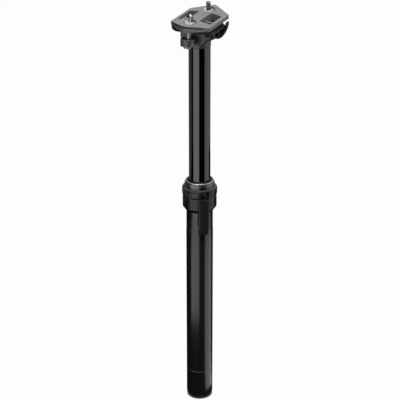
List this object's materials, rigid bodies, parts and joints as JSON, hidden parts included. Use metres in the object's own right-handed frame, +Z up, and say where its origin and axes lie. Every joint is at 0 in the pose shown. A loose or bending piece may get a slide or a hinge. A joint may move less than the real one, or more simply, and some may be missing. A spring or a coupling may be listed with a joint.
{
  "type": "dropper seatpost",
  "caption": "Bicycle dropper seatpost: a stanchion that slides in a lower tube on a lever at the collar, with a gas spring and a tilting two-bolt clamp for saddle rails.",
  "frame": {"origin": "on the post's axis, at the lower face of the foot", "axes": "+Z up along the post, +X to the rider's left, +Y rearward (the front of the bicycle is -Y)"},
  "size_m": [0.0536, 0.0649, 0.4965],
  "materials": {
    "stanchion_gloss": "gloss black hard anodised",
    "tube_satin": "satin black anodised",
    "collar_satin": "satin black anodised, turned",
    "head_matte": "matte black forging",
    "clamp_grey": "bead-blasted dark grey",
    "bolt_grey": "dull grey steel",
    "nut_bright": "bright steel",
    "ring_bright": "polished stainless steel",
    "rod_steel": "ground steel",
    "lever_black": "black anodised",
    "strip_steel": "spring steel strip",
    "guide_plastic": "fine-textured black nylon",
    "stop_plastic": "black acetal",
    "bushing_plastic": "bronze-grey acetal",
    "key_brass": "brass",
    "seal_rubber": "nitrile rubber",
    "foam": "oil-soaked felt ring",
    "inner_aluminium": "plain turned aluminium"
  },
  "bodies": {
    "outer": {"foot_cap": "tube_satin", "foot_plug": "inner_aluminium", "outer_tube": "tube_satin", "rocker_pin": "rod_steel", "piston_rod": "rod_steel", "rod_nut": "rod_steel", "main_piston": "inner_aluminium", "piston_seal": "seal_rubber", "upper_bushing": "bushing_plastic", "top_out_bumper": "seal_rubber", "collar": "collar_satin", "seal_nut": "collar_satin", "foam_ring": "foam", "wiper_seal": "seal_rubber", "rim_ring": "ring_bright", "cable_guide": "guide_plastic", "housing_stop": "stop_plastic"},
    "lever": {"release_lever": "lever_black", "lever_spindle": "rod_steel", "pivot_screw": "lever_black", "cable_barrel": "lever_black", "barrel_screw": "bolt_grey"},
    "strip": {"release_strip": "strip_steel"},
    "rocker": {"foot_rocker": "rod_steel"},
    "valve": {"valve_pin": "rod_steel", "valve_spring": "rod_steel"},
    "stanchion_set": {"stanchion": "stanchion_gloss", "stanchion_end_nut": "inner_aluminium", "lower_bushing": "bushing_plastic", "guide_keys": "key_brass", "cartridge_tube": "inner_aluminium", "rod_guide": "inner_aluminium", "rod_seal": "seal_rubber", "cartridge_plug": "inner_aluminium", "filling_valve": "key_brass", "head": "head_matte"},
    "floating": {"floating_piston": "inner_aluminium", "floating_seal": "seal_rubber"},
    "clamp": {"lower_cradle": "head_matte", "upper_clamp": "clamp_grey"},
    "front_bolt_set": {"front_bolt": "bolt_grey", "front_washer": "bolt_grey"},
    "rear_bolt_set": {"rear_bolt": "bolt_grey", "rear_washer": "bolt_grey"},
    "front_nut_body": {"front_nut": "nut_bright"},
    "rear_nut_body": {"rear_nut": "nut_bright"}
  },
  "joints": [
    {"name": "post_travel", "type": "slide", "parent": "outer", "child": "stanchion_set", "axis": [0, 0, 1], "range_m": [-0.15, 0], "stiffness_N_per_m": 60, "springref_m": 0.2},
    {"name": "floating_slide", "type": "slide", "parent": "stanchion_set", "child": "floating", "axis": [0, 0, 1], "range_m": [0, 0.02485]},
    {"name": "lever_turn", "type": "hinge", "parent": "outer", "child": "lever", "pos_m": [0, -0.017, 0.275], "axis": [0, 1, 0], "range_deg": [0, 20.02]},
    {"name": "strip_lift", "type": "slide", "parent": "outer", "child": "strip", "axis": [0, 0, 1], "range_m": [0, 0.00153], "stiffness_N_per_m": 20, "springref_m": -0.005},
    {"name": "rocker_tilt", "type": "hinge", "parent": "outer", "child": "rocker", "pos_m": [0, 0.009, 0.0245], "axis": [-1, 0, 0], "range_deg": [0, 4.27]},
    {"name": "valve_lift", "type": "slide", "parent": "outer", "child": "valve", "axis": [0, 0, 1], "range_m": [0, 0.00067], "deforming": ["valve_spring"]},
    {"name": "saddle_tilt", "type": "hinge", "parent": "stanchion_set", "child": "clamp", "pos_m": [0, 0, 0.483], "axis": [1, 0, 0], "range_deg": [-8, 8]},
    {"name": "front_bolt_swing", "type": "hinge", "parent": "stanchion_set", "child": "front_bolt_set", "pos_m": [0, -0.024, 0.457], "axis": [1, 0, 0], "range_deg": [-3.5, 3.5]},
    {"name": "rear_bolt_swing", "type": "hinge", "parent": "stanchion_set", "child": "rear_bolt_set", "pos_m": [0, 0.024, 0.457], "axis": [1, 0, 0], "range_deg": [-0.9, 0.9]},
    {"name": "front_nut_turn", "type": "hinge", "parent": "clamp", "child": "front_nut_body", "pos_m": [0, -0.019, 0.47811], "axis": [1, 0, 0], "range_deg": [-11.5, 11.5]},
    {"name": "rear_nut_turn", "type": "hinge", "parent": "clamp", "child": "rear_nut_body", "pos_m": [0, 0.01962, 0.48354], "axis": [1, 0, 0], "range_deg": [-8.9, 8.9]}
  ],
  "couplings": [
    {"joint": "floating_slide", "follows": "post_travel", "ratio": -0.16563},
    {"joint": "lever_turn", "follows": "strip_lift", "rad_per_m": 228.43},
    {"joint": "rocker_tilt", "follows": "strip_lift", "rad_per_m": 48.662},
    {"joint": "valve_lift", "follows": "strip_lift", "ratio": 0.43785},
    {"joint": "front_bolt_swing", "follows": "saddle_tilt", "ratio": -0.4291},
    {"joint": "rear_bolt_swing", "follows": "saddle_tilt", "ratio": -0.1049},
    {"joint": "front_nut_turn", "follows": "saddle_tilt", "ratio": -1.4291},
    {"joint": "rear_nut_turn", "follows": "saddle_tilt", "ratio": -1.1049}
  ]
}
